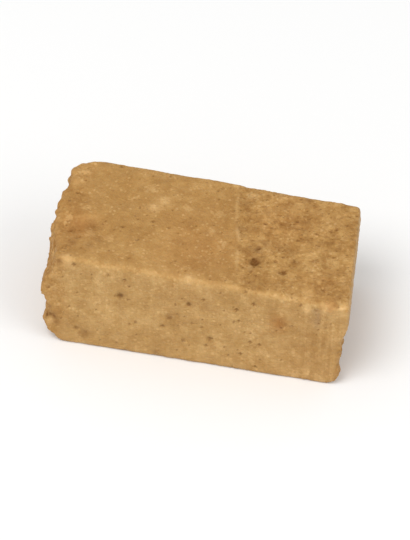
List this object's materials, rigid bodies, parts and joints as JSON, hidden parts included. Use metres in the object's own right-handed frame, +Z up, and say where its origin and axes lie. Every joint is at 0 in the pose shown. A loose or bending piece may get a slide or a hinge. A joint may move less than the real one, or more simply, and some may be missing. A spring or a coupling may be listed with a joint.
{
  "type": "nougat block",
  "caption": "Hand-cut block of soft almond nougat lying flat, with a smooth top, knife-cut front and back, a torn left side and a crumbled back corner.",
  "frame": {"origin": "middle of the bounding box in plan, on the underside that the block rests on", "axes": "+X along the knife-cut front face to the cut right side, +Y from the front face to the back, +Z up through the slab's thickness"},
  "size_m": [0.0426, 0.0212, 0.0149],
  "materials": {
    "nougat": "soft satin, slightly oily, finely granular"
  },
  "bodies": {
    "root": {"nougat_block": "nougat"}
  },
  "joints": []
}
